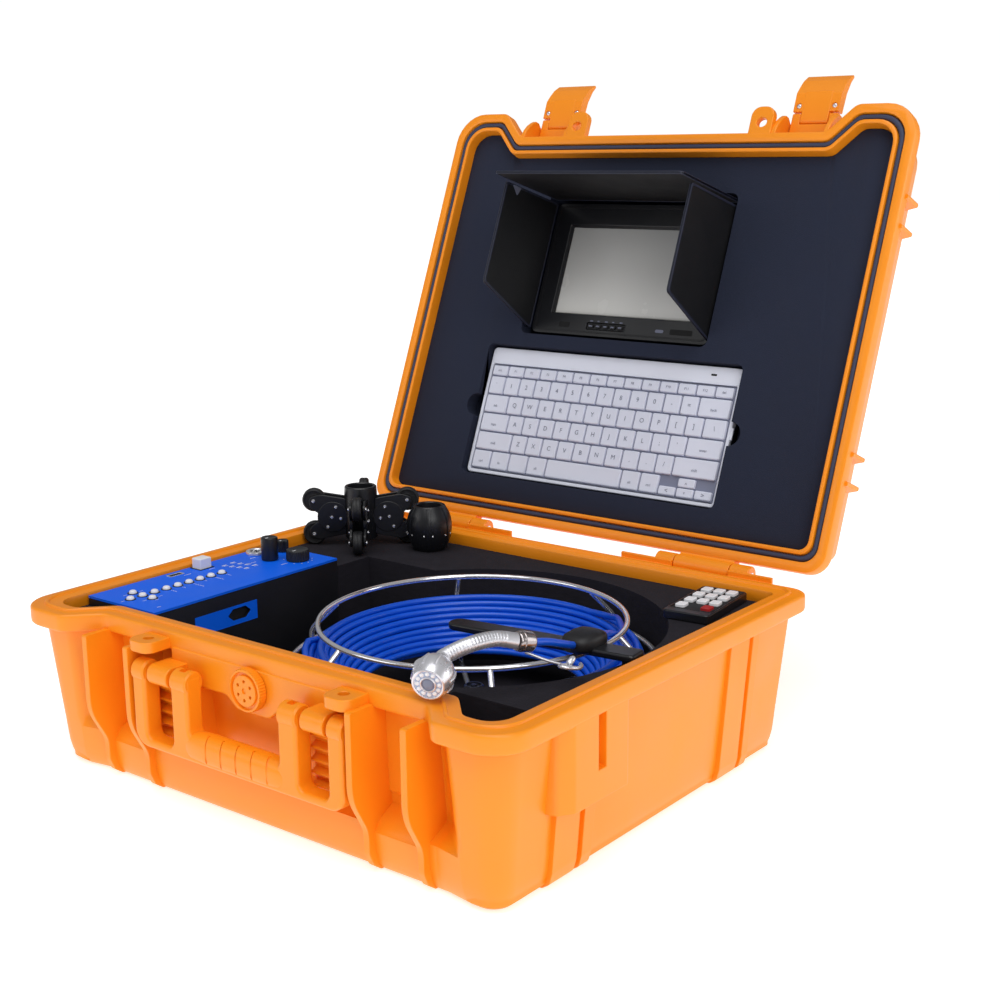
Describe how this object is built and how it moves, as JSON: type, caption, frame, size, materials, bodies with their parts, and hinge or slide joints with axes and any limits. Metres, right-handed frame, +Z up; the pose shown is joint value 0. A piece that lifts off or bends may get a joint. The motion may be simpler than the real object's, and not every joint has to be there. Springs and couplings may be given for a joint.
{
  "type": "pipe inspection camera",
  "caption": "Pipe inspection camera set in a hard case with an open lid: hooded screen, keyboard, control panel, reel of push cable with a camera head, skids and a remote.",
  "frame": {"origin": "middle of the case's flat underside", "axes": "+X to the user's right, -Y to the front where the handle is, +Z up; the lid stands open at 112 degrees behind the base"},
  "size_m": [0.506, 0.6303, 0.5502],
  "materials": {
    "case_orange": "satin, fine moulded grain",
    "gasket": "matt",
    "foam": "matt, closed-cell grain",
    "lid_foam": "matt, closed-cell grain",
    "black_plastic": "satin",
    "sunshade": "matt",
    "panel_blue": "satin overlay film",
    "circuit_board": "solder mask",
    "battery_wrap": "shrink film",
    "steel": "machined",
    "dark_chrome": "polished",
    "chrome_wire": "polished",
    "cable_blue": "smooth jacket",
    "screen": "anti-glare",
    "silver_plastic": "satin",
    "white_keys": "satin",
    "key_rubber": "matt",
    "wheel_rubber": "matt"
  },
  "bodies": {
    "case": {"base_shell": "case_orange", "base_foam": "foam", "hinge_pin_left": "steel", "hinge_pin_right": "steel", "handle_pin_left": "steel", "handle_pin_right": "steel", "control_box_housing": "black_plastic", "control_panel": "panel_blue", "control_board": "circuit_board", "battery_pack": "battery_wrap", "round_socket": "steel", "reel_spindle": "black_plastic", "cable_guide_arm": "black_plastic", "cable_lead": "cable_blue", "neck_spring": "steel", "camera_head": "steel", "head_collar": "dark_chrome"},
    "lid": {"lid_shell": "case_orange", "lid_gasket": "gasket", "lid_foam": "lid_foam", "monitor_housing": "black_plastic", "lcd_panel": "screen", "monitor_bezel": "black_plastic"},
    "reel": {"reel_cage": "chrome_wire", "cable_coil": "cable_blue"},
    "handle": {"carry_handle": "case_orange"},
    "relief_valve": {"relief_valve_knob": "case_orange"},
    "latch_link_left_body": {"latch_link_left": "case_orange"},
    "latch_lever_left_body": {"latch_lever_left": "case_orange"},
    "latch_link_right_body": {"latch_link_right": "case_orange"},
    "latch_lever_right_body": {"latch_lever_right": "case_orange"},
    "cluster_pad": {"cluster_keys": "white_keys"},
    "button_1": {"push_button_1": "white_keys"},
    "button_2": {"push_button_2": "white_keys"},
    "button_3": {"push_button_3": "white_keys"},
    "button_4": {"push_button_4": "white_keys"},
    "button_5": {"push_button_5": "white_keys"},
    "button_6": {"push_button_6": "white_keys"},
    "cap": {"connector_cap": "black_plastic"},
    "speaker_control": {"speaker_knob": "black_plastic"},
    "dimmer_control": {"dimmer_knob": "black_plastic"},
    "receiver": {"usb_receiver": "white_keys"},
    "monitor_key_pad": {"monitor_keys": "key_rubber"},
    "sunshade_right_flap": {"sunshade_right": "sunshade"},
    "sunshade_left_flap": {"sunshade_left": "sunshade"},
    "sunshade_top_flap": {"sunshade_top": "sunshade"},
    "keyboard": {"keyboard_case": "silver_plastic"},
    "key_pad": {"keyboard_keys": "white_keys"},
    "roller_skid": {"skid_body": "black_plastic"},
    "wheel_right_lower": {"skid_wheel_right_lower": "wheel_rubber"},
    "wheel_right_upper": {"skid_wheel_right_upper": "wheel_rubber"},
    "wheel_back_lower": {"skid_wheel_back_lower": "wheel_rubber"},
    "wheel_back_upper": {"skid_wheel_back_upper": "wheel_rubber"},
    "wheel_left_lower": {"skid_wheel_left_lower": "wheel_rubber"},
    "wheel_left_upper": {"skid_wheel_left_upper": "wheel_rubber"},
    "wheel_front_lower": {"skid_wheel_front_lower": "wheel_rubber"},
    "wheel_front_upper": {"skid_wheel_front_upper": "wheel_rubber"},
    "ball_skid_body": {"ball_skid": "black_plastic"},
    "remote": {"remote_case": "black_plastic"},
    "remote_key_pad": {"remote_keys": "key_rubber"}
  },
  "joints": [
    {"name": "lid_hinge", "type": "hinge", "parent": "case", "child": "lid", "pos_m": [0, 0.215, 0.135], "axis": [-1, 0, 0], "range_deg": [-70, 0]},
    {"name": "handle_hinge", "type": "hinge", "parent": "case", "child": "handle", "pos_m": [0, -0.1945, 0.106], "axis": [1, 0, 0], "range_deg": [-95, 0]},
    {"name": "relief_valve_turn", "type": "hinge", "parent": "case", "child": "relief_valve", "pos_m": [0, -0.1814, 0.109], "axis": [0, -1, 0], "range_deg": [0, 360]},
    {"name": "latch_link_left_hinge", "type": "hinge", "parent": "lid", "child": "latch_link_left_body", "pos_m": [-0.141, 0.39211, 0.49863], "axis": [1, 0, 0], "range_deg": [0, 90]},
    {"name": "latch_lever_left_hinge", "type": "hinge", "parent": "latch_link_left_body", "child": "latch_lever_left_body", "pos_m": [-0.141, 0.39755, 0.51207], "axis": [1, 0, 0], "range_deg": [-60, 0]},
    {"name": "latch_link_right_hinge", "type": "hinge", "parent": "lid", "child": "latch_link_right_body", "pos_m": [0.141, 0.39211, 0.49863], "axis": [1, 0, 0], "range_deg": [0, 90]},
    {"name": "latch_lever_right_hinge", "type": "hinge", "parent": "latch_link_right_body", "child": "latch_lever_right_body", "pos_m": [0.141, 0.39755, 0.51207], "axis": [1, 0, 0], "range_deg": [-60, 0]},
    {"name": "cluster_press", "type": "slide", "parent": "case", "child": "cluster_pad", "axis": [0, 0, -1], "range_m": [0, 0.0012], "stiffness_N_per_m": 400, "springref_m": -0.001},
    {"name": "button_1_press", "type": "slide", "parent": "case", "child": "button_1", "axis": [0, 0, -1], "range_m": [0, 0.0012], "stiffness_N_per_m": 400, "springref_m": -0.001},
    {"name": "button_2_press", "type": "slide", "parent": "case", "child": "button_2", "axis": [0, 0, -1], "range_m": [0, 0.0012], "stiffness_N_per_m": 400, "springref_m": -0.001},
    {"name": "button_3_press", "type": "slide", "parent": "case", "child": "button_3", "axis": [0, 0, -1], "range_m": [0, 0.0012], "stiffness_N_per_m": 400, "springref_m": -0.001},
    {"name": "button_4_press", "type": "slide", "parent": "case", "child": "button_4", "axis": [0, 0, -1], "range_m": [0, 0.0012], "stiffness_N_per_m": 400, "springref_m": -0.001},
    {"name": "button_5_press", "type": "slide", "parent": "case", "child": "button_5", "axis": [0, 0, -1], "range_m": [0, 0.0012], "stiffness_N_per_m": 400, "springref_m": -0.001},
    {"name": "button_6_press", "type": "slide", "parent": "case", "child": "button_6", "axis": [0, 0, -1], "range_m": [0, 0.0012], "stiffness_N_per_m": 400, "springref_m": -0.001},
    {"name": "connector_cap_turn", "type": "hinge", "parent": "case", "child": "cap", "pos_m": [-0.187, 0.016, 0.133], "axis": [0, 0, 1], "range_deg": [0, 360]},
    {"name": "speaker_knob_turn", "type": "hinge", "parent": "case", "child": "speaker_control", "pos_m": [-0.199, 0.043, 0.133], "axis": [0, 0, 1], "range_deg": [0, 300]},
    {"name": "dimmer_knob_turn", "type": "hinge", "parent": "case", "child": "dimmer_control", "pos_m": [-0.166, 0.03, 0.133], "axis": [0, 0, 1], "range_deg": [0, 300]},
    {"name": "usb_receiver_pull", "type": "slide", "parent": "case", "child": "receiver", "axis": [0, 0, 1], "range_m": [0, 0.03]},
    {"name": "monitor_keys_press", "type": "slide", "parent": "lid", "child": "monitor_key_pad", "axis": [0, 0.9272, -0.3746], "range_m": [0, 0.0005], "stiffness_N_per_m": 400, "springref_m": -0.0008},
    {"name": "sunshade_right_hinge", "type": "hinge", "parent": "lid", "child": "sunshade_right_flap", "pos_m": [0.0866, 0.33106, 0.37554], "axis": [0, -0.3746, -0.9272], "range_deg": [-10, 88]},
    {"name": "sunshade_left_hinge", "type": "hinge", "parent": "lid", "child": "sunshade_left_flap", "pos_m": [-0.1166, 0.33106, 0.37554], "axis": [0, -0.3746, -0.9272], "range_deg": [-88, 10]},
    {"name": "sunshade_top_hinge", "type": "hinge", "parent": "lid", "child": "sunshade_top_flap", "pos_m": [-0.015, 0.35709, 0.43998], "axis": [1, 0, 0], "range_deg": [-20, 0]},
    {"name": "keyboard_lift", "type": "slide", "parent": "lid", "child": "keyboard", "axis": [0, -0.9272, 0.3746], "range_m": [0, 0.06]},
    {"name": "keys_press", "type": "slide", "parent": "keyboard", "child": "key_pad", "axis": [0, 0.9272, -0.3746], "range_m": [0, 0.0007], "stiffness_N_per_m": 600, "springref_m": -0.001},
    {"name": "reel_spin", "type": "hinge", "parent": "case", "child": "reel", "pos_m": [0.058, 0.002, 0.06], "axis": [0, 0, 1], "continuous": true},
    {"name": "roller_skid_lift", "type": "slide", "parent": "case", "child": "roller_skid", "axis": [0, 0, 1], "range_m": [0, 0.08]},
    {"name": "wheel_right_lower_spin", "type": "hinge", "parent": "roller_skid", "child": "wheel_right_lower", "pos_m": [-0.14881, 0.15869, 0.1364], "axis": [-0.6293, 0.7771, 0], "continuous": true},
    {"name": "wheel_right_upper_spin", "type": "hinge", "parent": "roller_skid", "child": "wheel_right_upper", "pos_m": [-0.14881, 0.15869, 0.168], "axis": [-0.6293, 0.7771, 0], "continuous": true},
    {"name": "wheel_back_lower_spin", "type": "hinge", "parent": "roller_skid", "child": "wheel_back_lower", "pos_m": [-0.21069, 0.16519, 0.1364], "axis": [-0.7771, -0.6293, 0], "continuous": true},
    {"name": "wheel_back_upper_spin", "type": "hinge", "parent": "roller_skid", "child": "wheel_back_upper", "pos_m": [-0.21069, 0.16519, 0.168], "axis": [-0.7771, -0.6293, 0], "continuous": true},
    {"name": "wheel_left_lower_spin", "type": "hinge", "parent": "roller_skid", "child": "wheel_left_lower", "pos_m": [-0.21719, 0.10331, 0.1364], "axis": [0.6293, -0.7771, 0], "continuous": true},
    {"name": "wheel_left_upper_spin", "type": "hinge", "parent": "roller_skid", "child": "wheel_left_upper", "pos_m": [-0.21719, 0.10331, 0.168], "axis": [0.6293, -0.7771, 0], "continuous": true},
    {"name": "wheel_front_lower_spin", "type": "hinge", "parent": "roller_skid", "child": "wheel_front_lower", "pos_m": [-0.15531, 0.09681, 0.1364], "axis": [0.7771, 0.6293, 0], "continuous": true},
    {"name": "wheel_front_upper_spin", "type": "hinge", "parent": "roller_skid", "child": "wheel_front_upper", "pos_m": [-0.15531, 0.09681, 0.168], "axis": [0.7771, 0.6293, 0], "continuous": true},
    {"name": "ball_skid_lift", "type": "slide", "parent": "case", "child": "ball_skid_body", "axis": [0, 0, 1], "range_m": [0, 0.08]},
    {"name": "remote_lift", "type": "slide", "parent": "case", "child": "remote", "axis": [0, 0, 1], "range_m": [0, 0.06]},
    {"name": "remote_keys_press", "type": "slide", "parent": "remote", "child": "remote_key_pad", "axis": [0, 0, -1], "range_m": [0, 0.0005], "stiffness_N_per_m": 400, "springref_m": -0.0008}
  ]
}
